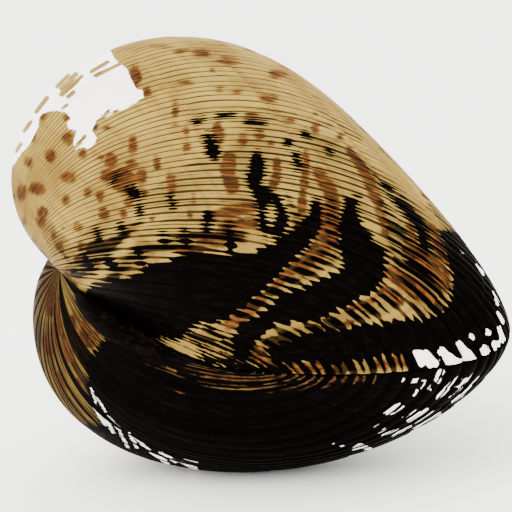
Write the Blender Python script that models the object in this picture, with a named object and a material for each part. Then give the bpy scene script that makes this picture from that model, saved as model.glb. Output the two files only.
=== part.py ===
"""A closed cockle shell lying on its lower valve.

Two ribbed valves meet along a flat margin, and a short dark ligament lies along the hinge
behind the beaks. Each valve is a loft of growth lines. Every growth line is the same outline,
made smaller and turned further about the hinge the nearer it lies to the beak.

In the shell's own frame the beaks are at the origin, the hinge runs along X with the ligament
on the +X side, +Y points to the free margin and the valves meet in the plane Z = 0.
"""
import math

import bpy
import bmesh
import numpy as np
from mathutils import Euler, Matrix

# Size of the shell, in metres: the outline ratios below are shares of it
GROWTH_SIZE = 0.056

# Growth line, as shares of the growth size
HINGE_FRONT = 0.084
HINGE_BACK = 0.544
HALF_LENGTH = 0.583
HALF_HEIGHT = 0.415
EGG = -0.073
SKEW = -0.028

# How the growth lines turn about the hinge: degrees at the beak, then the two exponents
BEAK_TURN = 127.1
TURN_POWER = 1.531
TURN_SOFTNESS = 0.745
BEAK_LEAN = -0.098
HINGE_BOW_BACK = 0.5
HINGE_BOW_FRONT = -0.047

# Ribs: their number on a valve, the shoulders of a rib as shares of its width, and the depth of
# the groove between two ribs in metres at the margin
RIB_COUNT = 44
RIB_SHOULDERS = (0.22, 0.78)
GROOVE_DEPTH = 0.0008

# Sweep of the ribs on the back slope: how far they drift towards the hinge as they grow, and
# the shares of the margin where the sweep starts, is greatest and has died out
RIB_SWEEP = 0.26
SWEEP_START = 0.35
SWEEP_CREST = 0.85
SWEEP_END = 1.0

# Rings of the loft from the beak to the margin, and the smallest ring
RING_COUNT = 14
FIRST_RING = 0.07

# Hollow of a valve: its wall in metres, its smallest ring, its rings and the points of a ring
# along the margin and along the hinge, and how far it runs out past the margin in metres
WALL = 0.0028
HOLLOW_START = 0.36
HOLLOW_RINGS = 6
HOLLOW_POINTS = 28
HINGE_POINTS = 7
HOLLOW_REACH = 0.002

# Ligament, in metres, and its facets round and along
LIGAMENT_LENGTH = 0.019
LIGAMENT_WIDTH = 0.0040
LIGAMENT_DEPTH = 0.0022
LIGAMENT_MIDDLE = 0.0165
LIGAMENT_RAISE = 0.0004
LIGAMENT_ROUND = 16
LIGAMENT_ALONG = 12

# Gap between the two valves, in metres
MARGIN_GAP = 0.0003

# How the shell lies: turn about X, then about Y, in degrees, and the depth of the worn flat
REST_TURN_X = 5.0
REST_TURN_Y = 21.0
FLAT_DEPTH = 0.0006

# Block that cuts the worn flat, in metres
FLAT_CUT_SIDE = 3 * GROWTH_SIZE
FLAT_CUT_HEIGHT = 0.01

# Samples of the two curves that are measured along their length, and the angle in degrees
# above which an edge looks sharp
MARGIN_SAMPLES = 1600
GROWTH_SAMPLES = 800
SHARP_ANGLE = 14.0

TAN = (0.62, 0.49, 0.29, 1.0)
DARK_TAN = (0.30, 0.20, 0.11, 1.0)
HORN = (0.03, 0.018, 0.01, 1.0)


def clear_scene():
    for item in list(bpy.data.objects):
        bpy.data.objects.remove(item, do_unlink=True)


def margin_curve():
    """One growth line at full size, from the front end of the hinge round to its back end."""
    middle = (HINGE_BACK - HINGE_FRONT) / 2
    half = (HINGE_BACK + HINGE_FRONT) / 2
    hinge_angle = math.acos(half / HALF_LENGTH)
    lift = HALF_HEIGHT * math.sin(hinge_angle)
    angle = np.linspace(math.pi + hinge_angle, -hinge_angle, MARGIN_SAMPLES)
    x = middle + HALF_LENGTH * np.cos(angle)
    y = np.clip(lift + HALF_HEIGHT * np.sin(angle), 0, None)
    y = y * (1 + EGG * np.cos(angle) * np.clip(np.sin(angle) + math.sin(hinge_angle), 0, None))
    x = x + SKEW * y
    return x, y


def along_margin(shares, depths):
    """Points of the growth line at shares of its length, pushed inward by depths."""
    x, y = margin_curve()
    length = np.concatenate(([0.0], np.cumsum(np.hypot(np.diff(x), np.diff(y)))))
    length = length / length[-1]
    slope_x = np.gradient(x, length)
    slope_y = np.gradient(y, length)
    size = np.hypot(slope_x, slope_y)
    inward_x = np.interp(shares, length, slope_y / size)
    inward_y = np.interp(shares, length, -slope_x / size)
    px = np.interp(shares, length, x) + inward_x * depths
    py = np.interp(shares, length, y) + inward_y * depths
    return px, py


def turn(u):
    """Angle of a growth line about the hinge, in radians, for its size u from 0 to 1."""
    return math.radians(BEAK_TURN) * (1 - u ** TURN_POWER) ** TURN_SOFTNESS


def place(u, x, y):
    """Points of a growth line of size u, in metres, in the shell's own frame."""
    angle = turn(u)
    deepest = margin_curve()[1].max()
    px = u * x - BEAK_LEAN * 2 * math.sin(angle) * u * (1 - u) * y / deepest
    py = u * y * math.cos(angle)
    pz = u * y * math.sin(angle)
    bow = np.where(px > 0, HINGE_BOW_BACK, HINGE_BOW_FRONT)
    py = py + bow * px ** 2
    return np.stack([px, py, pz], axis=-1) * GROWTH_SIZE


def ring_sizes(first, count):
    """Sizes of the growth lines, evenly spaced along the middle of the valve."""
    u = np.linspace(first, 1, GROWTH_SAMPLES)
    angle = np.array([turn(value) for value in u])
    step = np.hypot(np.diff(u), u[1:] * np.diff(angle))
    path = np.concatenate(([0.0], np.cumsum(step)))
    return np.interp(np.linspace(0, path[-1], count), path, u)


def rib_stations():
    """Shares of the margin where the loft has a point, and the groove's depth at each."""
    shares = [0.0]
    depths = [0.0]
    for rib in range(RIB_COUNT):
        for shoulder in RIB_SHOULDERS:
            shares.append((rib + shoulder) / RIB_COUNT)
            depths.append(0.0)
        shares.append((rib + 1) / RIB_COUNT)
        depths.append(GROOVE_DEPTH / GROWTH_SIZE if rib < RIB_COUNT - 1 else 0.0)
    return np.array(shares), np.array(depths)


def swept(shares, u):
    """Where ribs that end at these shares of the margin cross the growth line of size u."""
    rise = np.clip((shares - SWEEP_START) / (SWEEP_CREST - SWEEP_START), 0, 1)
    fall = np.clip((SWEEP_END - shares) / (SWEEP_END - SWEEP_CREST), 0, 1)
    strength = 0.5 - 0.5 * np.cos(math.pi * np.minimum(rise, fall))
    return shares - RIB_SWEEP * strength * (1 - u)


def mesh_object(name, bm, collection):
    bmesh.ops.recalc_face_normals(bm, faces=bm.faces)
    mesh = bpy.data.meshes.new(name)
    bm.to_mesh(mesh)
    bm.free()
    made = bpy.data.objects.new(name, mesh)
    collection.objects.link(made)
    return made


def valve_solid(name, side, collection):
    """The outer form of a valve as a solid that is flat where the two valves meet."""
    shares, depths = rib_stations()
    lift = np.array([0, 0, MARGIN_GAP / 2])
    flip = np.array([1, 1, side])
    bm = bmesh.new()
    tip = bm.verts.new((0, 0, side * MARGIN_GAP / 2))
    rings = []
    for u in ring_sizes(FIRST_RING, RING_COUNT):
        points = (place(u, *along_margin(swept(shares, u), depths)) + lift) * flip
        rings.append([bm.verts.new(point) for point in points])
    for start, end in zip(rings[0][:-1], rings[0][1:]):
        bm.faces.new((tip, start, end))
    for inner, outer in zip(rings[:-1], rings[1:]):
        for i in range(len(inner) - 1):
            bm.faces.new((inner[i], outer[i], outer[i + 1], inner[i + 1]))
    back_edge = [ring[-1] for ring in reversed(rings[:-1])]
    front_edge = [ring[0] for ring in rings[:-1]]
    bm.faces.new(rings[-1] + back_edge + [tip] + front_edge)
    return mesh_object(name, bm, collection)


def hollow_cutter(name, side, collection):
    """The space inside a valve, closed at its inner end and run out past the margin."""
    x, y = along_margin(np.linspace(0, 1, HOLLOW_POINTS), np.zeros(HOLLOW_POINTS))
    chord = np.linspace(HINGE_BACK, -HINGE_FRONT, HINGE_POINTS + 2)[1:-1]
    x = np.concatenate([x, chord])
    y = np.concatenate([y, np.zeros(len(chord))])
    middle_x = x.mean()
    middle_y = y.mean()
    reach = np.hypot(x - middle_x, y - middle_y).mean()
    bm = bmesh.new()
    rings = []
    for u in ring_sizes(HOLLOW_START, HOLLOW_RINGS):
        share = 1 - WALL / GROWTH_SIZE / (u * reach)
        points = place(u, middle_x + (x - middle_x) * share, middle_y + (y - middle_y) * share)
        rings.append([bm.verts.new(point * np.array([1, 1, side])) for point in points])
    last = [(vert.co.x, vert.co.y, -side * HOLLOW_REACH) for vert in rings[-1]]
    rings.append([bm.verts.new(point) for point in last])
    for inner, outer in zip(rings[:-1], rings[1:]):
        for i in range(len(inner)):
            j = (i + 1) % len(inner)
            bm.faces.new((inner[i], outer[i], outer[j], inner[j]))
    bm.faces.new(rings[-1])
    centre = np.mean([vert.co for vert in rings[0]], axis=0)
    end = bm.verts.new(centre)
    for i in range(len(rings[0])):
        bm.faces.new((end, rings[0][i], rings[0][(i + 1) % len(rings[0])]))
    return mesh_object(name, bm, collection)


def ligament_solid(name, collection):
    """A long rounded lens that follows the bow of the hinge."""
    bm = bmesh.new()
    bmesh.ops.create_uvsphere(bm, u_segments=LIGAMENT_ROUND, v_segments=LIGAMENT_ALONG, radius=0.5)
    turned = Matrix.Rotation(math.pi / 2, 4, "Y")
    bmesh.ops.transform(bm, matrix=turned, verts=bm.verts)
    for vert in bm.verts:
        x = LIGAMENT_MIDDLE + vert.co.x * LIGAMENT_LENGTH
        bow = HINGE_BOW_BACK * (x / GROWTH_SIZE) ** 2 * GROWTH_SIZE
        thickness = math.sqrt(max(0.25 - vert.co.x ** 2, 0)) - vert.co.y
        y = bow - LIGAMENT_RAISE - thickness * LIGAMENT_DEPTH
        vert.co = (x, y, vert.co.z * LIGAMENT_WIDTH)
    return mesh_object(name, bm, collection)


def cut(target, cutter):
    modifier = target.modifiers.new(cutter.name, "BOOLEAN")
    modifier.operation = "DIFFERENCE"
    modifier.solver = "EXACT"
    modifier.object = cutter


def surface(name, colour, roughness):
    material = bpy.data.materials.new(name)
    material.use_nodes = True
    shader = material.node_tree.nodes["Principled BSDF"]
    shader.inputs["Base Color"].default_value = colour
    shader.inputs["Roughness"].default_value = roughness
    shader.inputs["Metallic"].default_value = 0.0
    return material


def lay_down(pose, pieces):
    """Turn the shell to its rest and set the middle of its underside on the origin."""
    rotation = Euler((math.radians(REST_TURN_X), math.radians(REST_TURN_Y), 0), "XYZ")
    matrix = rotation.to_matrix()
    turned = [matrix @ vert.co for piece in pieces for vert in piece.data.vertices]
    corners = np.array(turned)
    low = corners.min(axis=0)
    high = corners.max(axis=0)
    pose.rotation_euler = rotation
    pose.location = (-(low[0] + high[0]) / 2, -(low[1] + high[1]) / 2, -low[2] - FLAT_DEPTH)


def build():
    clear_scene()
    scene = bpy.context.scene
    shell = bpy.data.collections.new("cockle_shell")
    cutters = bpy.data.collections.new("cutters")
    scene.collection.children.link(shell)
    scene.collection.children.link(cutters)

    pose = bpy.data.objects.new("shell_pose", None)
    shell.objects.link(pose)

    upper = valve_solid("upper_valve", 1, shell)
    lower = valve_solid("lower_valve", -1, shell)
    upper_hollow = hollow_cutter("upper_hollow", 1, cutters)
    lower_hollow = hollow_cutter("lower_hollow", -1, cutters)
    ligament = ligament_solid("ligament", shell)
    for piece in (upper, lower, ligament, upper_hollow, lower_hollow):
        piece.parent = pose
    lay_down(pose, (upper, lower, ligament))

    bpy.ops.mesh.primitive_cube_add(size=1)
    floor_cut = bpy.context.object
    floor_cut.name = "worn_flat"
    floor_cut.scale = (FLAT_CUT_SIDE, FLAT_CUT_SIDE, FLAT_CUT_HEIGHT)
    floor_cut.location = (0, 0, -FLAT_CUT_HEIGHT / 2)
    for holder in list(floor_cut.users_collection):
        holder.objects.unlink(floor_cut)
    cutters.objects.link(floor_cut)

    cut(upper, upper_hollow)
    cut(lower, lower_hollow)
    cut(lower, floor_cut)

    for cutter in (upper_hollow, lower_hollow, floor_cut):
        cutter.hide_render = True
        cutter.display_type = "WIRE"

    upper.data.materials.append(surface("tan_shell", TAN, 0.45))
    lower.data.materials.append(surface("dark_shell", DARK_TAN, 0.45))
    ligament.data.materials.append(surface("horn", HORN, 0.5))
    for piece in (upper, lower, ligament):
        piece.data.shade_smooth()
        piece.data.set_sharp_from_angle(angle=math.radians(SHARP_ANGLE))


build()
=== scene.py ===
import math

import bmesh
import bpy
import numpy as np
from mathutils import Matrix, Vector


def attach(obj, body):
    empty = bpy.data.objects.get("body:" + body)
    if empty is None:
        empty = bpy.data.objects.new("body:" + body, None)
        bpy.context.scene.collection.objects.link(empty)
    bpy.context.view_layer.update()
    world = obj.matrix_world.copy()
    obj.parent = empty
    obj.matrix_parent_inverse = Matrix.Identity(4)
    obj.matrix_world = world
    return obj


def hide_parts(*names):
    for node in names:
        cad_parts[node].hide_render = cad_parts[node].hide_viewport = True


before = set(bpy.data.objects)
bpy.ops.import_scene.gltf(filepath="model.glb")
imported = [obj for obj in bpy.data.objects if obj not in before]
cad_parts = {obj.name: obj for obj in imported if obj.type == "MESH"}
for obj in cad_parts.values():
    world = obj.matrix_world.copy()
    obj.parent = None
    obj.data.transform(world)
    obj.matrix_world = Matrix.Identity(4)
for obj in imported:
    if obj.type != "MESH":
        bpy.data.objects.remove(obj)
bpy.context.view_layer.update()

# The view
# The shell is seen from behind its hinge end, a little above the plane where the halves meet.
# The camera is set first, because the markings are placed where this view shows them.

# The shell's own frame: beaks at the origin, hinge along X, free edge towards +Y, halves meet at Z = 0
GROWTH_SIZE = 0.056
REST_TURN_X = 5.0
REST_TURN_Y = 21.0
REST_PLACE = Vector((-0.01165, -0.01919, 0.02858))
REST = (Matrix.Translation(REST_PLACE) @ Matrix.Rotation(math.radians(REST_TURN_Y), 4, "Y")
        @ Matrix.Rotation(math.radians(REST_TURN_X), 4, "X"))

# Degrees round the shell, above its middle plane and of roll; distance and target in growth sizes
VIEW_ROUND = 68.01
VIEW_ABOVE = 31.97
VIEW_ROLL = 4.77
VIEW_DISTANCE = 4.892
VIEW_TARGET = Vector((0.25, 0.40, 0.0))
PIXELS_PER_SIZE = 440.8
TARGET_PIXEL = (262.3, 269.5)
PICTURE = 512
SENSOR_MM = 36.0

around, above, roll = (math.radians(angle) for angle in (VIEW_ROUND, VIEW_ABOVE, VIEW_ROLL))
VIEW_BACK = Vector((math.sin(around) * math.cos(above), -math.cos(around) * math.cos(above), math.sin(above)))
level = Vector((math.cos(around), math.sin(around), 0))
upward = VIEW_BACK.cross(level)
VIEW_RIGHT = math.cos(roll) * level - math.sin(roll) * upward
VIEW_UP = math.sin(roll) * level + math.cos(roll) * upward
aim = VIEW_TARGET - VIEW_RIGHT * ((TARGET_PIXEL[0] - PICTURE / 2) / PIXELS_PER_SIZE)
aim = aim + VIEW_UP * ((TARGET_PIXEL[1] - PICTURE / 2) / PIXELS_PER_SIZE)
VIEW_PLACE = (aim + VIEW_BACK * VIEW_DISTANCE) * GROWTH_SIZE
FOCAL_PIXELS = PIXELS_PER_SIZE * VIEW_DISTANCE
MM_PER_PIXEL = 1000 * GROWTH_SIZE / PIXELS_PER_SIZE

camera_data = bpy.data.cameras.new("camera")
camera_data.sensor_width = SENSOR_MM
camera_data.lens = FOCAL_PIXELS * SENSOR_MM / PICTURE
camera_data.clip_start = 0.01
camera = bpy.data.objects.new("camera", camera_data)
looking = Matrix((VIEW_RIGHT, VIEW_UP, VIEW_BACK)).transposed().to_4x4()
camera.matrix_world = REST @ Matrix.Translation(VIEW_PLACE) @ looking
bpy.context.scene.collection.objects.link(camera)
bpy.context.scene.camera = camera

# Upper valve
# The half that faces up: a thin, strongly domed bowl of hard lime that grew line by line from
# the curled beak. About eighty low ribs fan out to the edge. It is tan with rows of brown
# flecks and near-black growth bands on the back slope, deepened to black by painted shade, with
# painted shade by the hinge and a white painted highlight on the dome.

# One growth line, and how the lines turn about the hinge, in the same terms as the solids
HINGE_FRONT = 0.084
HINGE_BACK = 0.544
HALF_LENGTH = 0.583
HALF_HEIGHT = 0.415
EGG = -0.073
SKEW = -0.028
BEAK_TURN = 127.1
TURN_POWER = 1.531
TURN_SOFTNESS = 0.745
BEAK_LEAN = -0.098
HINGE_BOW_BACK = 0.5
HINGE_BOW_FRONT = -0.047
RIB_SWEEP = 0.26
SWEEP_START = 0.35
SWEEP_CREST = 0.85
SWEEP_END = 1.0
MARGIN_GAP = 0.0003

# Ribs on a valve; the grooves' depth at the edge in metres, half width in ribs and how unlike they are
RIB_COUNT = 80
GROOVE_DEPTH = 0.00036
GROOVE_HALF = 0.13
GROOVE_RANGE = (0.6, 1.25)
RIB_UNEVENNESS = 0.16

# The mesh: points across a rib, growth lines and the first of them, and its sharp edges in degrees
RIB_POINTS = (0.0, 0.13, 0.36, 0.64, 0.87)
GROWTH_LINES = 236
FIRST_LINE = 0.02
SHARP_ANGLE = 60

# Points that the outline is worked out at, and sizes that the way grown is summed over
LINE_POINTS = 4000
SIZE_STEPS = 2000

# Growth stops: sizes at which the shell paused, depth of the low step there and its width in mm.
# Nearer the beak than the last size the steps get lower.
GROWTH_STOPS = (0.47, 0.60, 0.71, 0.80, 0.875, 0.93, 0.968)
STOP_DEPTH = 0.00013
STOP_WIDTH = 0.5
STOPS_FULL_FROM = 0.3


def growth_line():
    """The outline at full size, from the front end of the hinge round to its back end."""
    middle = (HINGE_BACK - HINGE_FRONT) / 2
    half = (HINGE_BACK + HINGE_FRONT) / 2
    hinge_angle = math.acos(half / HALF_LENGTH)
    lift = HALF_HEIGHT * math.sin(hinge_angle)
    angle = np.linspace(math.pi + hinge_angle, -hinge_angle, LINE_POINTS)
    x = middle + HALF_LENGTH * np.cos(angle)
    y = np.clip(lift + HALF_HEIGHT * np.sin(angle), 0, None)
    y = y * (1 + EGG * np.cos(angle) * np.clip(np.sin(angle) + math.sin(hinge_angle), 0, None))
    return x + SKEW * y, y


LINE_X, LINE_Y = growth_line()
LINE_LENGTH = np.concatenate(([0.0], np.cumsum(np.hypot(np.diff(LINE_X), np.diff(LINE_Y)))))
EDGE_MM = LINE_LENGTH[-1] * GROWTH_SIZE * 1000
LINE_SHARE = LINE_LENGTH / LINE_LENGTH[-1]


def on_line(shares, depths):
    """Points of the growth line at shares of its length, pushed inward by depths."""
    slope_x = np.gradient(LINE_X, LINE_SHARE)
    slope_y = np.gradient(LINE_Y, LINE_SHARE)
    slope = np.hypot(slope_x, slope_y)
    x = np.interp(shares, LINE_SHARE, LINE_X) + np.interp(shares, LINE_SHARE, slope_y / slope) * depths
    y = np.interp(shares, LINE_SHARE, LINE_Y) - np.interp(shares, LINE_SHARE, slope_x / slope) * depths
    return x, np.clip(y, 0, None)


def turn(size):
    """How far a growth line of this size is turned up about the hinge."""
    return math.radians(BEAK_TURN) * (1 - size ** TURN_POWER) ** TURN_SOFTNESS


def grown(size, x, y):
    """Points of the growth line of a size from 0 to 1, in metres, in the shell's own frame."""
    angle = turn(size)
    px = size * x - BEAK_LEAN * 2 * math.sin(angle) * size * (1 - size) * y / LINE_Y.max()
    py = size * y * math.cos(angle) + np.where(px > 0, HINGE_BOW_BACK, HINGE_BOW_FRONT) * px ** 2
    pz = size * y * math.sin(angle)
    return np.stack([px, py, pz], axis=-1) * GROWTH_SIZE


def swept(shares, size):
    """Where ribs that end at these shares of the edge cross the growth line of this size."""
    rise = np.clip((shares - SWEEP_START) / (SWEEP_CREST - SWEEP_START), 0, 1)
    fall = np.clip((SWEEP_END - shares) / (SWEEP_END - SWEEP_CREST), 0, 1)
    strength = 0.5 - 0.5 * np.cos(math.pi * np.minimum(rise, fall))
    return shares - RIB_SWEEP * strength * (1 - size)


ALL_SIZES = np.linspace(FIRST_LINE, 1, SIZE_STEPS)
ALL_TURNS = np.array([turn(size) for size in ALL_SIZES])
STEPS = np.hypot(np.diff(ALL_SIZES), ALL_SIZES[1:] * np.diff(ALL_TURNS))
PATH_MM = np.concatenate(([0.0], np.cumsum(STEPS))) * GROWTH_SIZE * 1000 * LINE_Y.max()
SIZES = np.interp(np.linspace(0, PATH_MM[-1], GROWTH_LINES), PATH_MM, ALL_SIZES)


def path_at(sizes):
    """Millimetres grown from the beak, measured down the middle of the valve."""
    return np.interp(sizes, ALL_SIZES, PATH_MM)


def rib_layout(seed):
    """Across one valve: rib number, share of the edge and depth of the surface at each point."""
    chance = np.random.default_rng(seed)
    grooves = np.arange(RIB_COUNT + 1) + chance.uniform(-RIB_UNEVENNESS, RIB_UNEVENNESS, RIB_COUNT + 1)
    grooves[0], grooves[-1] = 0, RIB_COUNT
    deep = chance.uniform(*GROOVE_RANGE, RIB_COUNT + 1)
    deep[0], deep[-1] = 0, 0
    number = np.array([rib + point for rib in range(RIB_COUNT) for point in RIB_POINTS] + [RIB_COUNT])
    share = np.interp(number, np.arange(RIB_COUNT + 1), grooves) / RIB_COUNT
    near = np.round(number).astype(int)
    depth = np.exp(-((number - near) / GROOVE_HALF) ** 2) * deep[near] * GROOVE_DEPTH
    return number, share, depth


def stop_depth(size):
    """The low step that each growth stop leaves: a quick drop, then a slow rise."""
    gone = path_at(size) - path_at(np.array(GROWTH_STOPS))
    step = np.where(gone < 0, np.exp(gone / STOP_WIDTH * 2), np.exp(-gone / STOP_WIDTH / 3))
    return STOP_DEPTH * step.max()


def place_at_rest(points):
    """Points of the shell's own frame, as it lies; nothing reaches below the worn flat."""
    rest = np.array(REST)
    laid = points @ rest[:3, :3].T + rest[:3, 3]
    laid[:, 2] = np.maximum(laid[:, 2], 0)
    return laid


def closed_piece(name, points, faces):
    """A smooth-shaded object of one closed mesh, laid at rest."""
    mesh = bpy.data.meshes.new(name)
    mesh.from_pydata(place_at_rest(points).tolist(), [], faces)
    bm = bmesh.new()
    bm.from_mesh(mesh)
    bmesh.ops.triangulate(bm, faces=[face for face in bm.faces if len(face.verts) > 4])
    bmesh.ops.recalc_face_normals(bm, faces=bm.faces)
    bm.to_mesh(mesh)
    bm.free()
    mesh.shade_smooth()
    mesh.set_sharp_from_angle(angle=math.radians(SHARP_ANGLE))
    piece = bpy.data.objects.new(name, mesh)
    bpy.context.scene.collection.objects.link(piece)
    return piece


# A mark drawn in the view fades where the surface turns away. Facing is 1 where the surface looks at
# the camera and 0 on the outline: drawn marks end at minus the first value, the far side starts at the
# second, in mm, and the third turns facing into millimetres.
FACING_END = 0.10
FAR_SIDE_START = 0.4
FACING_FADE = 12
FAR = 1e9


class Valve:
    """One half as a mesh, with where each of its points is on the shell and in the view."""

    def __init__(self, name, side, seed):
        number, share, depth = rib_layout(seed)
        flip = np.array([1, 1, side])
        rows = []
        smooth = []
        for size in SIZES:
            sunk = (depth + stop_depth(size) / max(size, STOPS_FULL_FROM)) / GROWTH_SIZE
            rows.append(grown(size, *on_line(swept(share, size), sunk)) * flip)
            smooth.append(grown(size, *on_line(swept(share, size), 0)) * flip)
        grid = np.array(rows)
        across = np.cross(np.gradient(smooth, axis=0), np.gradient(smooth, axis=1)) * -side
        normal = across / np.maximum(np.linalg.norm(across, axis=-1, keepdims=True), 1e-15)
        grid[..., 2] += side * MARGIN_GAP / 2
        self.rib = np.broadcast_to(number, grid.shape[:2])
        self.share = np.array([swept(share, size) for size in SIZES])
        self.path = path_at(np.broadcast_to(SIZES[:, None], grid.shape[:2]))
        away = np.array(VIEW_PLACE) - grid
        depth_seen = away @ np.array(VIEW_BACK)
        self.facing = (normal * away).sum(axis=-1) / np.linalg.norm(away, axis=-1)
        self.x = PICTURE / 2 - FOCAL_PIXELS * (away @ np.array(VIEW_RIGHT)) / depth_seen
        self.y = PICTURE / 2 + FOCAL_PIXELS * (away @ np.array(VIEW_UP)) / depth_seen
        lines, count = grid.shape[:2]
        tip = lines * count
        faces = [(i * count + j, (i + 1) * count + j, (i + 1) * count + j + 1, i * count + j + 1)
                 for i in range(lines - 1) for j in range(count - 1)]
        faces += [(tip, j, j + 1) for j in range(count - 1)]
        edge = [(lines - 1) * count + j for j in range(count)]
        edge += [i * count + count - 1 for i in range(lines - 2, -1, -1)] + [tip]
        faces.append(tuple(edge + [i * count for i in range(lines - 1)]))
        points = np.concatenate([grid.reshape(-1, 3), [[0, 0, side * MARGIN_GAP / 2]]])
        self.piece = closed_piece(name, points, faces)

    def keep(self, name, values):
        """Store one value for each point of the mesh, for the material to read."""
        layer = self.piece.data.attributes.new(name, "FLOAT", "POINT")
        layer.data.foreach_set("value", np.append(values.ravel(), values.ravel()[0]).astype(np.float32))

    def seen(self, pixels):
        """Millimetres inside a mark of the view, fading out where the surface turns away."""
        return np.minimum(pixels * MM_PER_PIXEL, (self.facing + FACING_END) * FACING_FADE)

    def far_side(self):
        """Millimetres inside the side that the view doesn't show."""
        return FAR_SIDE_START - self.facing * FACING_FADE

    def to_segment(self, a, b):
        """Pixels from each point to a segment, and how far along the segment it is nearest."""
        length = max((b[0] - a[0]) ** 2 + (b[1] - a[1]) ** 2, 1e-6)
        along = ((self.x - a[0]) * (b[0] - a[0]) + (self.y - a[1]) * (b[1] - a[1])) / length
        along = np.clip(along, 0, 1)
        gap = np.hypot(self.x - a[0] - along * (b[0] - a[0]), self.y - a[1] - along * (b[1] - a[1]))
        return gap, along

    def area(self, outline):
        """How far inside an outline drawn in the view."""
        nearest = np.full(self.x.shape, FAR)
        inside = np.zeros(self.x.shape, bool)
        for a, b in zip(outline, outline[1:] + outline[:1]):
            nearest = np.minimum(nearest, self.to_segment(a, b)[0])
            if a[1] != b[1]:
                crosses = (a[1] > self.y) != (b[1] > self.y)
                inside ^= crosses & (self.x < (b[0] - a[0]) * (self.y - a[1]) / (b[1] - a[1]) + a[0])
        return self.seen(np.where(inside, nearest, -nearest))

    def stroke(self, marks):
        """How far inside a brush stroke of the view, given as (x, y, width) points."""
        best = np.full(self.x.shape, -FAR)
        for a, b in zip(marks[:-1], marks[1:]):
            gap, along = self.to_segment(a, b)
            best = np.maximum(best, (a[2] + (b[2] - a[2]) * along) / 2 - gap)
        return self.seen(best)

    def spot(self, x, y, wide, high):
        """How far inside an oval fleck of the view."""
        out = np.hypot((self.x - x) / (wide / 2), (self.y - y) / (high / 2))
        return self.seen((1 - out) * min(wide, high) / 2)


def most(fields):
    """Several marks as one."""
    return np.maximum.reduce(list(fields))


upper = Valve("upper_valve_shell", 1, 11)

# Near-black of the upper valve, as outlines and strokes in the picture's 512 pixels. It is the dark brown
# pattern deepened to black by painted shade, and painted shade in the hollow by the hinge.
BLACK_MASS = [
    (320, 198), (321, 214), (317, 233), (307, 248), (299, 256), (287, 265), (278, 274), (270, 283), (262, 290),
    (248, 304), (235, 311), (226, 319), (214, 322), (200, 321), (180, 340), (120, 335), (100, 318), (84, 296),
    (92, 285), (108, 283), (119, 280), (130, 278), (141, 273), (152, 266), (169, 261), (180, 254), (205, 253),
    (240, 254), (262, 250), (276, 243), (286, 232), (300, 226), (309, 216), (313, 205), (314, 198)]
BLACK_CHEVRON = [
    (346, 198), (360, 197), (356, 205), (358, 213), (361, 224), (369, 233), (374, 241), (387, 251), (386, 259),
    (384, 268), (384, 279), (376, 289), (365, 294), (351, 304), (333, 311), (315, 320), (300, 322), (278, 322),
    (267, 329), (252, 344), (251, 353), (243, 362), (236, 360), (230, 348), (234, 334), (240, 328), (245, 322),
    (255, 318), (262, 311), (271, 303), (279, 297), (288, 290), (299, 287), (309, 285), (323, 280), (333, 276),
    (344, 269), (343, 256), (340, 249), (340, 230), (340, 219)]
BLACK_SLIP = [
    (391, 197), (400, 198), (408, 206), (419, 217), (424, 227), (429, 237), (430, 252), (426, 252), (419, 246),
    (416, 232), (411, 222), (404, 213), (393, 200)]
BLACK_EDGE = [
    (440, 230), (462, 232), (490, 256), (508, 282), (518, 305), (520, 345), (490, 375), (412, 382), (412, 358),
    (405, 357), (394, 353), (375, 359), (355, 360),
    (338, 364), (327, 366), (313, 361), (286, 364), (276, 364), (266, 351), (273, 346), (295, 339), (308, 333),
    (328, 330), (347, 330), (360, 326), (375, 325), (401, 321), (420, 319), (433, 317), (444, 312), (450, 300),
    (454, 282), (451, 270), (446, 257), (447, 250), (442, 241)]
BLACK_STROKES = [
    [(257, 157, 10), (257, 170, 15), (254, 182, 14), (258, 190, 8)],
    [(258, 190, 12), (264, 200, 16), (263, 214, 10), (266, 228, 12), (278, 231, 14), (281, 218, 12),
     (274, 201, 12), (264, 194, 14)],
    [(209, 138, 9), (213, 150, 13)], [(213, 156, 5), (215, 158, 5)],
    [(200, 358, 5), (240, 367, 9), (285, 371, 8)],
    [(208, 214, 7), (207, 228, 9)], [(229, 227, 7), (231, 246, 9)], [(249, 122, 7), (263, 124, 4)],
    [(290, 141, 4), (287, 143, 6)], [(296, 157, 6), (297, 162, 7)], [(299, 166, 8), (303, 166, 4)],
    [(304, 133, 5), (309, 137, 4)], [(196, 121, 5), (203, 119, 3)], [(219, 117, 5), (232, 115, 3)],
    [(139, 207, 5), (140, 213, 6)], [(134, 190, 6), (138, 195, 7)], [(121, 226, 6), (123, 233, 6)],
    [(170, 197, 4), (173, 205, 6)], [(97, 232, 5), (99, 238, 5)], [(108, 260, 7), (113, 266, 7)],
    [(138, 251, 7), (140, 260, 9)], [(163, 234, 5), (165, 243, 7)], [(184, 231, 6), (186, 244, 8)],
    [(84, 254, 4), (85, 262, 5)], [(88, 264, 6), (92, 270, 5)], [(183, 258, 8), (186, 262, 9)],
    [(328, 150, 4), (331, 152, 3)], [(383, 184, 5), (391, 190, 6)], [(182, 326, 2), (215, 362, 2)],
    [(206, 326, 2), (250, 361, 2)], [(411, 262, 7), (423, 273, 8), (431, 282, 6)],
    [(128, 190, 4), (134, 195, 7)], [(112, 183, 3), (117, 176, 4)]]
upper_black_and_shade = most(
    [upper.area(shape) for shape in (BLACK_MASS, BLACK_CHEVRON, BLACK_SLIP, BLACK_EDGE)]
    + [upper.stroke(marks) for marks in BLACK_STROKES])

# Past the view the pigment runs on in bands along the growth stops, each thinner and more broken:
# beads of uneven length, about eleven from one end of a growth line to the other
BAND_SOLID = 0.8
BAND_WIDTH_MM = 3.0
BEAD_WAVE = 70


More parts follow.
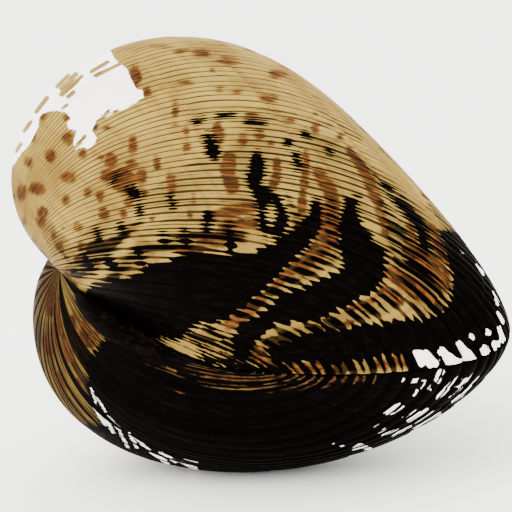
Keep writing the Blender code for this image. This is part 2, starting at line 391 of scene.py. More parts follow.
def growth_bands(valve, sizes, begin, end, wide):
    """Dark bands of so many mm along growth lines, whole at one share of the edge and gone at another."""
    left = np.clip((valve.share - end) / (begin - end), 0, 1)
    field = np.full(valve.x.shape, -FAR)
    for number, size in enumerate(sizes):
        uneven = 2 * np.sin(valve.share * 23 + number)
        beads = 0.5 + 0.5 * np.sin(valve.share * BEAD_WAVE + 2.3 * number + uneven)
        half = (wide / 2 + BAND_SOLID) * left * (0.3 + 0.7 * beads ** (2 - left)) - BAND_SOLID
        field = np.maximum(field, half - np.abs(valve.path - path_at(size)))
    return np.minimum(field, valve.far_side())


upper_black_and_shade = np.maximum(upper_black_and_shade, growth_bands(upper, GROWTH_STOPS[1:], 0.82, 0.25, BAND_WIDTH_MM))

# The black edge runs on round the margin too, narrower and narrower, and ends before the front
EDGE_BLACK_MM = 15.0
EDGE_BLACK_END = 0.25
EDGE_BLACK_TAPER = 1.6
EDGE_WANDER_MM = 0.8
turned_away = np.where(upper.share[-1] > EDGE_BLACK_END, np.abs(upper.facing[-1]), FAR)
outline_share = upper.share[-1, turned_away.argmin()]
left = np.clip((upper.share - EDGE_BLACK_END) / (outline_share - EDGE_BLACK_END), 0, 1)
wander = EDGE_WANDER_MM * np.sin(upper.share * 60 + 2 * np.sin(upper.share * 27)) - EDGE_WANDER_MM
edge_band = upper.path - PATH_MM[-1] + EDGE_BLACK_MM * left ** EDGE_BLACK_TAPER + wander
upper_black_and_shade = np.maximum(upper_black_and_shade, np.minimum(edge_band, upper.far_side()))

# The pale eye in the looped mark of the middle: x, y, wide, high
PALE_EYE = (271, 215, 12, 24)
upper_black_and_shade = np.minimum(upper_black_and_shade, -upper.spot(*PALE_EYE))

# Brown and rust pigment of the upper valve: strokes, then flecks as (x, y, wide, high)
BROWN_STROKES = [
    [(306, 152, 8), (305, 172, 12), (303, 192, 12), (301, 212, 8)],
    [(318, 172, 12), (328, 186, 15), (334, 204, 14)],
    [(330, 210, 18), (329, 230, 21), (322, 247, 20), (306, 260, 18), (288, 272, 16), (276, 285, 13)],
    [(262, 298, 13), (252, 308, 14)], [(241, 317, 13), (230, 325, 10)],
    [(229, 157, 12), (227, 172, 18), (232, 187, 17)], [(208, 214, 10), (228, 212, 14), (252, 207, 15)],
    [(222, 227, 10), (252, 222, 13)], [(277, 158, 8), (277, 176, 14), (272, 189, 14)],
    [(349, 149, 8), (360, 165, 11), (370, 184, 13), (378, 206, 13), (386, 232, 10)],
    [(409, 226, 8), (414, 244, 9)], [(431, 230, 9), (441, 248, 10), (446, 262, 8)],
    [(408, 250, 14), (426, 262, 20), (440, 274, 18), (448, 288, 12)],
    [(392, 274, 14), (412, 288, 20), (432, 300, 12)], [(384, 290, 12), (400, 302, 10)],
    [(352, 308, 8), (372, 301, 9)], [(365, 311, 6), (372, 309, 6)], [(252, 350, 14), (266, 362, 14)],
    [(289, 368, 12), (312, 368, 12)], [(319, 365, 12), (328, 367, 10)], [(376, 363, 12), (387, 366, 12)],
    [(396, 360, 13), (408, 364, 13)], [(342, 325, 8), (352, 322, 6)], [(200, 240, 10), (222, 244, 8)],
    [(180, 250, 9), (200, 250, 9)]]
BROWN_FLECKS = [
    (135, 77, 12, 26), (147, 93, 8, 12), (150, 112, 7, 7), (175, 114, 9, 26), (42, 115, 9, 11),
    (67, 118, 10, 9), (68, 138, 13, 15), (32, 138, 9, 12), (50, 156, 12, 13), (28, 162, 9, 15),
    (69, 178, 15, 12), (83, 154, 11, 13), (106, 128, 15, 9), (95, 127, 11, 12), (101, 157, 9, 8),
    (110, 161, 12, 17), (107, 175, 13, 15), (87, 192, 10, 12), (38, 189, 16, 13), (22, 192, 9, 13),
    (133, 145, 10, 21), (132, 164, 9, 8),
    (123, 181, 22, 24), (142, 177, 9, 15), (171, 183, 10, 23), (145, 194, 9, 12), (164, 47, 20, 5),
    (178, 51, 15, 8), (200, 54, 12, 5), (229, 62, 20, 8), (212, 71, 10, 6), (189, 83, 16, 5), (218, 90, 14, 9),
    (237, 92, 12, 5), (276, 74, 16, 9), (267, 99, 20, 9), (186, 131, 10, 14), (187, 147, 9, 15),
    (218, 134, 15, 27), (252, 114, 12, 7), (260, 136, 11, 10), (271, 144, 9, 9), (316, 127, 12, 14),
    (315, 115, 12, 7), (340, 137, 14, 12), (43, 212, 13, 14), (66, 201, 9, 15), (77, 226, 12, 12),
    (63, 228, 8, 10), (81, 246, 9, 14), (104, 214, 11, 12), (129, 202, 10, 12), (41, 221, 9, 12),
    (78, 259, 8, 11), (67, 271, 8, 12), (124, 214, 8, 11), (160, 240, 10, 9), (152, 219, 9, 14),
    (112, 245, 9, 10), (194, 197, 7, 14), (190, 215, 8, 12), (60, 247, 8, 12), (54, 233, 7, 12),
    (98, 262, 8, 9), (24, 222, 6, 12), (33, 242, 6, 10), (100, 196, 8, 10), (157, 163, 8, 14),
    (243, 141, 9, 12), (290, 121, 12, 7)]
upper_brown = most(
    [upper.stroke(marks) for marks in BROWN_STROKES]
    + [upper.spot(*fleck) for fleck in BROWN_FLECKS])

# Flecks past the view: the first row and the distance of the rows from each other, the distance in a
# row, half widths, half lengths and how far one may leave its row, all in mm, and where they start
FIRST_FLECKS_MM = 6
FLECK_ROW_MM = 3.3
FLECK_STEP_MM = 3.9
FLECK_HALF_WIDTHS = (0.6, 1.3)
FLECK_HALF_LENGTHS = (0.5, 1.2)
FLECK_OFF_ROW_MM = 0.8
FLECKS_FROM_FACING = 0.12


def fleck_rows(valve, seed, kept):
    """Rows of flecks along the growth lines, on the side that the view doesn't show."""
    chance = np.random.default_rng(seed)
    field = np.full(valve.x.shape, -FAR)
    for grown_mm in np.arange(FIRST_FLECKS_MM, PATH_MM[-1] - 1, FLECK_ROW_MM):
        line = np.abs(valve.path[:, 0] - grown_mm).argmin()
        step = FLECK_STEP_MM / (EDGE_MM * SIZES[line])
        for share in np.arange(0.02, 0.98, step):
            middle = share + chance.uniform(-0.3, 0.3) * step
            point = np.abs(valve.share[line] - middle).argmin()
            wide = chance.uniform(*FLECK_HALF_WIDTHS)
            high = chance.uniform(*FLECK_HALF_LENGTHS)
            if chance.uniform() > kept or valve.facing[line, point] > FLECKS_FROM_FACING:
                continue
            across = (valve.share - middle) * EDGE_MM * SIZES[line] / wide
            off_row = chance.uniform(-FLECK_OFF_ROW_MM, FLECK_OFF_ROW_MM)
            along = (valve.path - grown_mm - off_row) / high
            field = np.maximum(field, (1 - np.hypot(across, along)) * min(wide, high))
    return field


upper_brown = np.maximum(upper_brown, fleck_rows(upper, 5, 0.75))

# Painted highlight on the upper valve: the white patch on the dome, and the pale cells and slivers along its
# edge
HIGHLIGHT_PATCH = [
    (113, 40), (110, 49), (116, 60), (127, 68), (132, 80), (137, 89), (143, 90), (144, 98), (142, 104),
    (130, 108), (118, 112), (107, 117), (98, 120), (92, 130), (97, 137), (96, 144), (88, 150), (82, 147),
    (75, 151), (73, 143), (76, 131), (68, 129), (66, 122), (71, 118), (66, 113), (56, 111), (48, 112),
    (40, 116), (39, 126), (34, 137), (30, 145), (22, 153), (15, 164), (4, 172), (0, 100), (50, 30)]
HIGHLIGHT_STROKES = [
    [(415, 352, 5), (422, 366, 7)], [(424, 355, 12), (433, 364, 13)],
    [(442, 351, 9), (452, 362, 13), (459, 362, 8)], [(459, 343, 7), (464, 350, 9), (472, 361, 12)],
    [(484, 349, 9), (489, 358, 11)], [(495, 344, 8), (499, 351, 8)],
    [(471, 336, 6), (473, 338, 5)], [(484, 328, 3), (488, 333, 7)], [(499, 327, 4), (503, 340, 7)],
    [(498, 312, 4), (503, 322, 5)], [(459, 250, 2), (463, 254, 3)], [(476, 264, 2), (483, 274, 4)],
    [(493, 291, 2), (498, 304, 4)]]
LEFT_IN_HIGHLIGHT = [
    [(57, 87, 3), (68, 75, 3)], [(61, 89, 3), (76, 74, 4)], [(62, 94, 5), (82, 76, 3)],
    [(68, 97, 3), (74, 92, 3)], [(91, 72, 3), (108, 62, 3)], [(95, 76, 3), (122, 63, 3)],
    [(36, 112, 3), (47, 98, 4)], [(24, 131, 3), (31, 122, 3)], [(12, 152, 3), (17, 140, 3)],
    [(16, 152, 2), (21, 144, 3)], [(63, 108, 2), (67, 105, 3)], [(75, 148, 3), (85, 136, 3)],
    [(89, 153, 3), (96, 145, 3)], [(97, 123, 3), (109, 111, 3)], [(101, 126, 3), (117, 111, 3)],
    [(128, 109, 2), (144, 100, 3)]]
left_tan = most([upper.stroke(marks) for marks in LEFT_IN_HIGHLIGHT])
upper_painted_highlight = np.minimum(upper.area(HIGHLIGHT_PATCH), -left_tan)
upper_painted_highlight = most([upper_painted_highlight] + [upper.stroke(marks) for marks in HIGHLIGHT_STROKES])
PALE_PAST_OUTLINE_MM = 0.1
upper_painted_highlight = np.minimum(upper_painted_highlight, upper.facing * FACING_FADE + PALE_PAST_OUTLINE_MM)

# Where the grooves of the upper valve are drawn bold and black: partly their own dark lines, partly
# painted shade, which also darkens the tan between them
SHADE_INK_STROKES = [
    [(120, 105, 3), (170, 84, 4), (220, 76, 4), (270, 84, 4), (320, 110, 5), (360, 140, 7)],
    [(192, 118, 5), (235, 108, 4)], [(228, 112, 4), (262, 110, 7), (296, 114, 4)],
    [(226, 120, 4), (256, 120, 7), (290, 117, 5), (330, 126, 8)],
    [(256, 130, 3), (290, 131, 6), (330, 140, 8)],
    [(180, 170, 3), (210, 150, 4)], [(180, 205, 8), (215, 202, 10), (255, 198, 12)],
    [(100, 290, 18), (140, 250, 22), (190, 240, 26), (240, 236, 22)], [(285, 190, 8), (300, 225, 20)],
    [(330, 200, 20), (335, 250, 28), (290, 280, 24), (240, 315, 22)],
    [(380, 200, 14), (410, 260, 44), (430, 300, 44)], [(400, 200, 20), (440, 250, 24)],
    [(390, 300, 30), (330, 325, 24), (270, 345, 26)], [(180, 332, 12), (215, 345, 26), (260, 360, 26)],
    [(270, 368, 22), (340, 368, 22), (410, 360, 24), (470, 350, 30), (505, 335, 30)],
    [(430, 205, 12), (470, 250, 20), (505, 310, 22)], [(66, 284, 22), (95, 258, 26), (140, 222, 14)],
    [(350, 150, 8), (390, 190, 14)], [(50, 236, 8), (72, 266, 16), (98, 244, 20)]]
# Broad washes of painted shade where the grooves are only a little bolder, and how strong a wash can get
FAINT_SHADE_INK = [
    [(150, 205, 30), (200, 185, 50), (260, 165, 60), (320, 165, 60), (370, 190, 50), (410, 230, 50)],
    [(12, 172, 6), (10, 200, 8), (18, 228, 8), (34, 258, 9)], [(123, 172, 14), (125, 188, 20)],
    [(45, 225, 16), (70, 262, 30), (110, 235, 40)], [(150, 240, 30), (200, 225, 40)]]
FAINT_LIMIT = 0.35
faint = np.minimum(most([upper.stroke(marks) for marks in FAINT_SHADE_INK]), FAINT_LIMIT)
upper_ink_and_shade = most([upper.stroke(marks) for marks in SHADE_INK_STROKES] + [faint])

# Under the painted highlight the grooves lose their ink too: what is left at its edge, and how fast it goes
INK_AT_HIGHLIGHT = 0.3
INK_LOST_PER_MM = 4
upper_ink_and_shade = np.minimum(upper_ink_and_shade, INK_AT_HIGHLIGHT - INK_LOST_PER_MM * upper_painted_highlight)

for layer, values in (("rib", upper.rib), ("path", upper.path), ("black", upper_black_and_shade),
                      ("brown", upper_brown), ("pale", upper_painted_highlight), ("ink", upper_ink_and_shade)):
    upper.keep(layer, values)


def colour(code):
    """An sRGB hex colour as linear values."""
    parts = [int(code[i:i + 2], 16) / 255 for i in (0, 2, 4)]
    return tuple(p / 12.92 if p <= 0.04045 else ((p + 0.055) / 1.055) ** 2.4 for p in parts) + (1.0,)


def add(tree, kind, links=(), **settings):
    """A node with its settings; links are (input, value) or (input, (node, output))."""
    node = tree.nodes.new(kind)
    for key, value in settings.items():
        setattr(node, key, value)
    for socket, source in links:
        if isinstance(source, tuple) and hasattr(source[0], "outputs"):
            tree.links.new(source[0].outputs[source[1]], node.inputs[socket])
        else:
            node.inputs[socket].default_value = source
    return node


# Work that nodes do often: kind of node, its settings, the sockets that take the inputs, the output
WORK = {
    "RAMP": ("ShaderNodeMapRange", {"interpolation_type": "SMOOTHSTEP"}, ("Value", "From Min", "From Max"), 0),
    "BLEND": ("ShaderNodeMix", {"data_type": "RGBA"}, (0, 6, 7), 2)}
for sum_name in ("ADD", "SUBTRACT", "MULTIPLY", "MULTIPLY_ADD", "DIVIDE", "MINIMUM", "MAXIMUM", "FRACT",
                 "ABSOLUTE", "PINGPONG"):
    WORK[sum_name] = ("ShaderNodeMath", {"operation": sum_name}, (0, 1, 2), 0)

# Cloudy patches of the lime, its grain, which is really finer and drawn this coarse so that it shows,
# and the depth in metres of the fine growth lines. Specular level is far under the usual 0.5, because
# the black of the picture gives back no light.
MOTTLE_MM = 6.25
GRAINS_PER_MM = 2.6
STRIAE_DEPTH = 0.00006
LIME_SPECULAR = 0.005


def lime_shell(name, ground, shade, rust, umber, crowded_mm):
    """Aragonite, the lime of seashells, laid down line by line at the growing edge and worn by sand.
    The eye gets a dry satin skin whose colour follows ribs and growth lines, so that the edge of
    every mark is combed along the ribs. A rib is about 1.8 mm wide at the edge."""
    material = bpy.data.materials.new(name)
    material.use_nodes = True
    tree = material.node_tree
    shader = tree.nodes["Principled BSDF"]
    value = {key: (add(tree, "ShaderNodeAttribute", attribute_name=key), "Fac")
             for key in ("rib", "path", "black", "brown", "pale", "ink")}
    place = (add(tree, "ShaderNodeTexCoord"), "Object")

    def node(work, *inputs, **settings):
        """The output of a node that does this work on these inputs."""
        kind, usual, sockets, output = WORK[work]
        return (add(tree, kind, list(zip(sockets, inputs)), **usual, **settings), output)

    def combed(across, along, detail=2.0):
        """Noise that is long along the ribs: changes per rib and per millimetre grown."""
        flat = add(tree, "ShaderNodeCombineXYZ", [(0, node("MULTIPLY", value["rib"], across)),
                                                  (1, node("MULTIPLY", value["path"], along))])
        links = [("Vector", (flat, 0)), ("Scale", 1.0), ("Detail", detail)]
        return (add(tree, "ShaderNodeTexNoise", links), 0)

    # Each groove, and the finer thread between two grooves, carries its own length of a mark
    groove = node("SUBTRACT", 0.5, node("ABSOLUTE", node("SUBTRACT", node("FRACT", value["rib"]), 0.5)))
    doubled = node("FRACT", node("MULTIPLY", value["rib"], 2.0))
    thread = node("SUBTRACT", 0.5, node("ABSOLUTE", node("SUBTRACT", doubled, 0.5)))
    wild = node("SUBTRACT", combed(3.7, 0.10, 1.0), 0.5)
    fine = node("SUBTRACT", combed(3.2, 0.9, 3.0), 0.5)
    torn = node("MULTIPLY_ADD", fine, 0.5, node("MULTIPLY", wild, 1.6))
    clouds = [("Vector", place), ("Scale", 1000 / MOTTLE_MM), ("Detail", 4.0)]
    mottle = (add(tree, "ShaderNodeTexNoise", clouds), 0)
    grains = [("Vector", place), ("Scale", 1000 * GRAINS_PER_MM), ("Detail", 2.0)]
    grain = (add(tree, "ShaderNodeTexNoise", grains), 0)
    seasons = combed(0.05, 0.55, 3.0)

    def within(half, distance):
        """One inside a line of this half width, in ribs, and nought outside."""
        return node("RAMP", node("SUBTRACT", half, distance), -0.03, 0.03)

    def toothed(field, outward, inward, wildness):
        """A mark whose edge runs out in pointed teeth along the ribs, so many millimetres each way."""
        edge = node("MULTIPLY_ADD", torn, wildness, field)
        tooth = add(tree, "ShaderNodeMapRange", [("Value", edge), ("From Min", -outward), ("From Max", inward),
                                                 ("To Min", -0.04), ("To Max", 0.56)])
        return within((tooth, 0), thread)

    # Tan ground with rusty seasons; where the ink field lies, painted shade darkens the tan to umber
    # and gathers the grooves in dark bundles, most where there is the most ink
    inked_and_shaded = node("RAMP", node("MULTIPLY_ADD", torn, 0.7, value["ink"]), -0.2, 1.0)
    tan = node("BLEND", node("RAMP", mottle, 0.35, 0.68), ground, shade)
    tan = node("BLEND", node("MULTIPLY", node("RAMP", seasons, 0.5, 0.72), 0.4), tan, rust)
    tan = node("BLEND", node("MULTIPLY", inked_and_shaded, 0.45), tan, umber)
    bundles = node("RAMP", node("MULTIPLY_ADD", inked_and_shaded, 0.6, combed(1.1, 0.03)), 1.10, 1.115)
    tan = node("BLEND", node("MULTIPLY", bundles, 0.9), tan, colour("140B04"))

    # Brown flecks, then black pigment deepened by painted shade, then the white painted highlight, each over
    # the one before
    worn = node("MULTIPLY_ADD", node("SUBTRACT", mottle, 0.5), 1.6, node("MULTIPLY", torn, 0.6))
    stain = node("RAMP", node("ADD", worn, value["brown"]), -0.20, 0.32)
    rusty = node("BLEND", node("RAMP", combed(2.6, 0.35), 0.36, 0.62), rust, umber)
    stained = node("BLEND", node("MULTIPLY", stain, node("RAMP", combed(0.9, 0.5), 0.0, 0.5)), tan, rusty)
    thin = node("MULTIPLY", stain, node("MULTIPLY_ADD", combed(2.9, 0.2), 1.0, -0.28))
    stained = node("BLEND", node("MULTIPLY", within(thin, thread), 0.8), stained, umber)
    black = toothed(value["black"], 0.75, 0.25, 1.0)
    dark = node("MAXIMUM", inked_and_shaded, node("RAMP", value["black"], -1.2, -0.2))
    pitch = node("BLEND", node("RAMP", combed(3.0, 0.3), 0.4, 0.8), colour("020101"), colour("070403"))
    painted = node("BLEND", black, stained, pitch)
    highlight_mask = toothed(value["pale"], 0.02, 0.14, 0.18)
    highlight_colour = node("BLEND", node("RAMP", mottle, 0.4, 0.7), colour("FBF8F2"), colour("EFE9DB"))
    highlit = node("BLEND", highlight_mask, painted, highlight_colour)

    # Close to the beak, where the grooves crowd together, every third one is bold, then every sixth
    crowded = node("MULTIPLY", inked_and_shaded, node("RAMP", value["path"], crowded_mm, crowded_mm * 0.6))
    closest = node("MULTIPLY", inked_and_shaded, node("RAMP", value["path"], crowded_mm * 0.55, crowded_mm * 0.35))
    third = node("PINGPONG", node("DIVIDE", value["rib"], 3.0), 0.5)
    sixth = node("PINGPONG", node("DIVIDE", value["rib"], 6.0), 0.5)
    thirds = within(node("MULTIPLY_ADD", node("SUBTRACT", crowded, closest), 0.23, -0.03), third)
    bold = node("MAXIMUM", thirds, within(node("MULTIPLY_ADD", closest, 0.22, -0.03), sixth))
    width = node("MULTIPLY_ADD", inked_and_shaded, 0.12, node("MULTIPLY", combed(0.7, 0.14), 0.19))
    width = node("MULTIPLY", width, node("MULTIPLY_ADD", crowded, -0.65, 1.0))
    bare = node("SUBTRACT", 1.0, node("MULTIPLY", highlight_mask, node("MULTIPLY_ADD", inked_and_shaded, -0.9, 0.9)))
    line = node("MULTIPLY", node("MAXIMUM", within(width, groove), bold), bare)
    # Fine hatch between the grooves where the ink field lies: painted shade
    hatch_width = node("MINIMUM", node("MULTIPLY_ADD", combed(2.3, 0.10), 1.6, -0.60), 0.21)
    hatch_width = node("MULTIPLY", node("SUBTRACT", inked_and_shaded, crowded), hatch_width)
    hatch_strength = node("MULTIPLY", bare, node("RAMP", inked_and_shaded, 0.1, 0.5))
    hatch = node("MULTIPLY", within(hatch_width, thread), hatch_strength)
    drawn = node("MAXIMUM", line, hatch)
    final = node("BLEND", drawn, highlit, node("BLEND", dark, colour("3A2A12"), colour("020101")))
    tree.links.new(final[0].outputs[final[1]], shader.inputs["Base Color"])

    satin = node("MULTIPLY_ADD", mottle, 0.22, 0.30)
    rough_under_highlight = node("MULTIPLY_ADD", highlight_mask, 0.25, satin)
    dull = node("MULTIPLY_ADD", line, 0.2, rough_under_highlight, use_clamp=True)
    tree.links.new(dull[0].outputs[dull[1]], shader.inputs["Roughness"])
    shader.inputs["Specular IOR Level"].default_value = LIME_SPECULAR

    striae = combed(0.25, 2.4, 3.0)
    height = node("MULTIPLY_ADD", grain, 0.35, node("MULTIPLY_ADD", fine, 0.5, striae))
    bump = add(tree, "ShaderNodeBump", [("Height", height), ("Strength", 0.55), ("Distance", STRIAE_DEPTH)])
    tree.links.new(bump.outputs[0], shader.inputs["Normal"])
    return material


upper.piece.data.materials.append(lime_shell(
    "tan_lime_shell", ground=colour("887136"), shade=colour("725A28"), rust=colour("603716"),
    umber=colour("2C180A"), crowded_mm=14.0))
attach(upper.piece, "root")
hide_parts("upper_valve")

# Lower valve
# The mirror half that the shell lies on, of the same grown lime. Its beak is tan and rib-striped,
# in darker colours than the upper valve as painted shade, and the rest is painted near black as shade,
# with pale streaks of painted highlight on the ribs near the outline.
lower = Valve("lower_valve_shell", -1, 23)

# The tan patch round the beak, its flecks, the olive gaps in the painted shade and the pale streaks of painted
# highlight
TAN_LOBE = [
    (10, 235), (60, 262), (77, 297), (88, 308), (103, 323), (113, 336), (104, 342), (96, 350), (91, 362),
    (88, 376), (87, 390), (92, 404), (104, 425), (80, 425), (40, 400), (5, 330)]
LOWER_BROWN = [
    [(34, 280, 8), (34, 298, 10)], [(30, 305, 8), (30, 318, 8)], [(49, 290, 9), (50, 312, 13)],
    [(73, 318, 7), (72, 334, 8)], [(69, 345, 10), (70, 358, 9)], [(86, 322, 9), (84, 345, 12)],
    [(60, 300, 10), (56, 330, 10)], [(45, 340, 9), (50, 352, 8)], [(98, 330, 9), (92, 345, 9)],
    [(58, 375, 8), (66, 386, 8)], [(78, 380, 8), (84, 396, 8)]]
OLIVE_STROKES = [
    [(190, 368, 6), (240, 380, 10), (292, 376, 9)], [(200, 384, 4), (232, 388, 6)],
    [(298, 378, 5), (324, 378, 6)], [(328, 380, 6), (370, 379, 8)],
    [(145, 364, 3), (170, 370, 6), (182, 380, 6)], [(176, 392, 3), (184, 396, 4)],
    [(206, 376, 5), (250, 389, 7), (288, 386, 7)], [(238, 395, 3), (272, 392, 4)],
    [(292, 386, 5), (330, 386, 4)]]
HIGHLIGHT_STREAKS = [
    [(98, 414, 3), (105, 424, 4)], [(102, 412, 3), (113, 432, 4)], [(108, 416, 3), (120, 430, 4)],
    [(120, 433, 3), (128, 447, 4)], [(129, 433, 3), (137, 448, 4)],
    [(136, 438, 3), (152, 453, 3), (169, 465, 4)], [(151, 453, 3), (166, 461, 4)],
    [(160, 452, 3), (176, 462, 4)], [(184, 458, 3), (198, 462, 3)],
    [(181, 462, 3), (196, 469, 5)], [(187, 470, 2), (202, 473, 3)], [(91, 388, 2), (96, 404, 3)],
    [(101, 378, 2), (104, 384, 3)], [(97, 398, 2), (106, 412, 3)], [(92, 404, 3), (99, 416, 3)],
    [(383, 388, 2), (394, 379, 3)], [(401, 381, 4), (405, 379, 4)], [(406, 383, 4), (411, 380, 5)],
    [(410, 387, 2), (418, 379, 3)], [(413, 389, 2), (422, 380, 3)],
    [(414, 396, 3), (428, 382, 6), (440, 371, 5)], [(419, 396, 3), (445, 371, 4)],
    [(428, 392, 2), (446, 376, 3)], [(436, 398, 4), (447, 390, 8), (459, 378, 6)],
    [(449, 397, 3), (463, 379, 4)], [(455, 399, 3), (475, 372, 4)],
    [(452, 401, 5), (462, 396, 4), (481, 376, 3)],
    [(382, 413, 2), (394, 405, 3)], [(386, 414, 3), (402, 403, 4)], [(394, 415, 3), (404, 407, 4)],
    [(402, 417, 2), (410, 407, 3)], [(406, 419, 3), (416, 411, 4)], [(408, 421, 4), (427, 410, 5)],
    [(415, 424, 2), (433, 411, 3)], [(414, 429, 3), (440, 413, 4)], [(374, 428, 3), (381, 424, 3)],
    [(379, 433, 2), (385, 429, 3)], [(382, 435, 3), (398, 430, 4)], [(393, 436, 3), (411, 426, 3)],
    [(352, 449, 3), (360, 446, 7), (371, 449, 4)], [(364, 456, 2), (378, 450, 3)],
    [(333, 444, 2), (343, 446, 3)], [(308, 467, 2), (315, 466, 3)]]

# Past the view, on the front side, the painted shade thins out along the growth lines: the share of
# the edge where it starts to, how many mm it gains over a whole edge, how far its end wanders and its most
BLACK_FROM = 0.50
FRONT_FADE_MM = 30
FRONT_WANDER_MM = 1.6
MOST_BLACK_MM = 3.0
LOWER_BAND_WIDTH_MM = 3.2
front_wander = FRONT_WANDER_MM * np.sin(lower.path * 0.9 + 3 * np.sin(lower.share * 14))
front_edge = (lower.share - BLACK_FROM) * FRONT_FADE_MM + front_wander
# Painted shade: the lower valve is black where it faces the view, outside the tan patch and the olive gaps
in_view = (lower.facing + FACING_END) * FACING_FADE
lower_painted_shade = np.minimum(-lower.area(TAN_LOBE), np.maximum(front_edge, in_view))
lower_painted_shade = np.minimum(lower_painted_shade, -most([lower.stroke(marks) for marks in OLIVE_STROKES]))
lower_bands = growth_bands(lower, GROWTH_STOPS, 0.55, 0.10, LOWER_BAND_WIDTH_MM)
lower_painted_shade = np.minimum(np.maximum(lower_painted_shade, lower_bands), MOST_BLACK_MM)
lower_brown = most([lower.stroke(marks) for marks in LOWER_BROWN + OLIVE_STROKES])
lower_brown = np.maximum(lower_brown, fleck_rows(lower, 9, 0.8))
lower_painted_highlight = most([lower.stroke(marks) for marks in HIGHLIGHT_STREAKS])

# The grooves are black in the painted shade and a little way out of it, and less so on the far side
INK_PAST_BLACK_MM = 1.2
MOST_INK = 1.5
least_ink = 0.1 + 0.8 * np.clip(1 + 2 * lower.facing, 0, 1)
lower_ink_and_shade = np.clip(lower_painted_shade + INK_PAST_BLACK_MM, least_ink, MOST_INK)
for layer, values in (("rib", lower.rib), ("path", lower.path), ("black", lower_painted_shade),
                      ("brown", lower_brown), ("pale", lower_painted_highlight), ("ink", lower_ink_and_shade)):
    lower.keep(layer, values)

# Darker colours than the upper valve's: the same lime in painted shade
lower.piece.data.materials.append(lime_shell(
    "shaded_lime_shell", ground=colour("705A2A"), shade=colour("54401C"), rust=colour("4E2E14"),
    umber=colour("241307"), crowded_mm=44.0))
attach(lower.piece, "root")
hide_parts("lower_valve")

# Ligament
# A short, dark brown-black band of tough horn that lies outside along the hinge, behind the
# beaks, and springs the halves open. Dried, it is fibrous lengthwise and finely cracked across.

# Sizes in metres; fibres round the band; depths of fibres and cracks as shares of its thickness
LIGAMENT_LENGTH = 0.019
LIGAMENT_WIDTH = 0.0040
LIGAMENT_DEPTH = 0.0022
LIGAMENT_MIDDLE = 0.0165
LIGAMENT_RAISE = 0.0004
FIBRES = 13
FIBRE_DEPTH = 0.07
CRACK_DEPTH = 0.03
LIGAMENT_ALONG = 90
LIGAMENT_ROUND = 96

spots = np.cos(np.linspace(math.pi, 0, LIGAMENT_ALONG + 2))[1:-1] / 2
turns = np.linspace(0, 2 * math.pi, LIGAMENT_ROUND, endpoint=False)
ligament_points = []
for spot in spots:
    thick = math.sqrt(0.25 - spot ** 2)
    wave = np.abs(np.sin(FIBRES * turns + 1.3 * math.sin(9 * spot)))
    crack = CRACK_DEPTH * max(0.0, math.sin(75 * spot) + 0.4 * math.sin(171 * spot) - 0.9)
    reach = thick * (1 - FIBRE_DEPTH * (1 - wave) ** 2 - crack)
    x = LIGAMENT_MIDDLE + spot * LIGAMENT_LENGTH
    y = HINGE_BOW_BACK * (x / GROWTH_SIZE) ** 2 * GROWTH_SIZE - LIGAMENT_RAISE
    y = y - (thick - reach * np.cos(turns)) * LIGAMENT_DEPTH
    z = reach * np.sin(turns) * LIGAMENT_WIDTH
    ligament_points += np.stack([np.full(len(turns), x), y, z], axis=-1).tolist()
ends = []
for end in (-0.5, 0.5):
    x = LIGAMENT_MIDDLE + end * LIGAMENT_LENGTH
    ends.append([x, HINGE_BOW_BACK * (x / GROWTH_SIZE) ** 2 * GROWTH_SIZE - LIGAMENT_RAISE, 0])
last_ring = (LIGAMENT_ALONG - 1) * LIGAMENT_ROUND
last_point = len(ligament_points)
ligament_faces = []
for j in range(LIGAMENT_ROUND):
    k = (j + 1) % LIGAMENT_ROUND
    for i in range(0, last_ring, LIGAMENT_ROUND):
        ligament_faces.append((i + j, i + k, i + LIGAMENT_ROUND + k, i + LIGAMENT_ROUND + j))
    ligament_faces += [(last_point, k, j), (last_point + 1, last_ring + j, last_ring + k)]
ligament = closed_piece("ligament_band", np.array(ligament_points + ends), ligament_faces)


# Fibres across and along the band to a millimetre, drawn coarse enough to show, and their relief in
# metres. Specular level is as low as the lime's, for the same reason.
FIBRES_PER_MM = 1.5
FIBRE_LENGTHS_PER_MM = 0.26
FIBRE_RELIEF = 0.0001
HORN_SPECULAR = 0.002


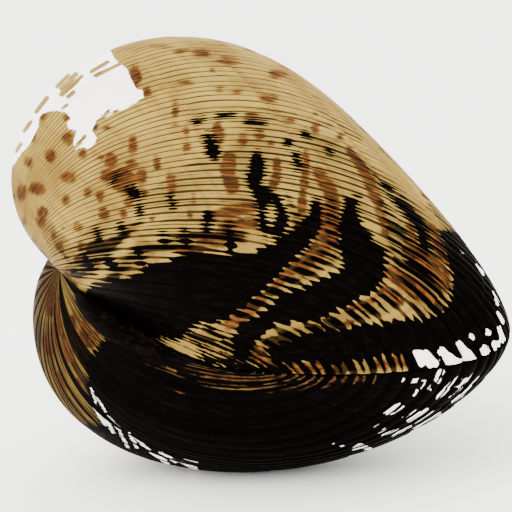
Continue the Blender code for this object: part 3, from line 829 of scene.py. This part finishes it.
def dried_horn():
    """Horn of a shell's ligament, grown in layers and dried hard: it gives the eye a nearly black,
    waxy band, a lighter brown where the fibres split."""
    material = bpy.data.materials.new("dried_horn")
    material.use_nodes = True
    tree = material.node_tree
    shader = tree.nodes["Principled BSDF"]
    place = add(tree, "ShaderNodeTexCoord")
    scale = (1000 * FIBRE_LENGTHS_PER_MM, 1000 * FIBRES_PER_MM, 1000 * FIBRES_PER_MM)
    drawn_out = add(tree, "ShaderNodeMapping", [("Vector", (place, "Object")), ("Scale", scale)])
    fibre = add(tree, "ShaderNodeTexNoise", [("Vector", (drawn_out, 0)), ("Scale", 1.0), ("Detail", 4.0)])
    split = add(tree, "ShaderNodeMapRange", [("Value", (fibre, 0)), ("From Min", 0.48), ("From Max", 0.72)])
    browns = [(0, (split, 0)), (6, colour("020101")), (7, colour("0D0804"))]
    tint = add(tree, "ShaderNodeMix", browns, data_type="RGBA")
    tree.links.new(tint.outputs[2], shader.inputs["Base Color"])
    wax = add(tree, "ShaderNodeMapRange", [("Value", (fibre, 0)), ("To Min", 0.35), ("To Max", 0.62)])
    tree.links.new(wax.outputs[0], shader.inputs["Roughness"])
    bump = add(tree, "ShaderNodeBump", [("Height", (fibre, 0)), ("Strength", 0.7), ("Distance", FIBRE_RELIEF)])
    tree.links.new(bump.outputs[0], shader.inputs["Normal"])
    shader.inputs["Specular IOR Level"].default_value = HORN_SPECULAR
    return material


ligament.data.materials.append(dried_horn())
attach(ligament, "root")
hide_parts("ligament")

# Floor and light
# A plain pale table under soft, even studio light, brighter from the upper left.

# Half the table's side in metres; the sky's strength; the lamp's watts and side in metres; how far it
# stands back from the shell, left and up in growth sizes, and the point that it looks at
FLOOR_HALF = 3
SKY_STRENGTH = 4.4
KEY_WATTS = 1.6
KEY_SIDE = 0.35
KEY_BACK = 3
KEY_LEFT = 4.0
KEY_UP = 4.5
KEY_AIM = Vector((0, 0, 0.03))

floor_mesh = bpy.data.meshes.new("floor")
floor_corners = [(x * FLOOR_HALF, y * FLOOR_HALF, 0) for x, y in ((-1, -1), (1, -1), (1, 1), (-1, 1))]
floor_mesh.from_pydata(floor_corners, [], [(0, 1, 2, 3)])
floor = bpy.data.objects.new("floor", floor_mesh)
bpy.context.scene.collection.objects.link(floor)

# Uncoated white paper, rolled out flat: it gives the eye an even, matt and nearly white ground
paper = bpy.data.materials.new("white_paper")
paper.use_nodes = True
paper.node_tree.nodes["Principled BSDF"].inputs["Base Color"].default_value = colour("F8F7F4")
paper.node_tree.nodes["Principled BSDF"].inputs["Roughness"].default_value = 0.9
floor.data.materials.append(paper)

world = bpy.data.worlds.new("studio")
world.use_nodes = True
world.node_tree.nodes["Background"].inputs["Color"].default_value = (1, 1, 1, 1)
world.node_tree.nodes["Background"].inputs["Strength"].default_value = SKY_STRENGTH
bpy.context.scene.world = world

key_data = bpy.data.lights.new("key", "AREA")
key_data.energy = KEY_WATTS
key_data.size = KEY_SIDE
key = bpy.data.objects.new("key", key_data)
key_from = REST @ ((VIEW_BACK * KEY_BACK - VIEW_RIGHT * KEY_LEFT + VIEW_UP * KEY_UP) * GROWTH_SIZE)
key_turn = (key_from - KEY_AIM).to_track_quat("Z", "Y").to_matrix().to_4x4()
key.matrix_world = Matrix.Translation(key_from) @ key_turn
bpy.context.scene.collection.objects.link(key)
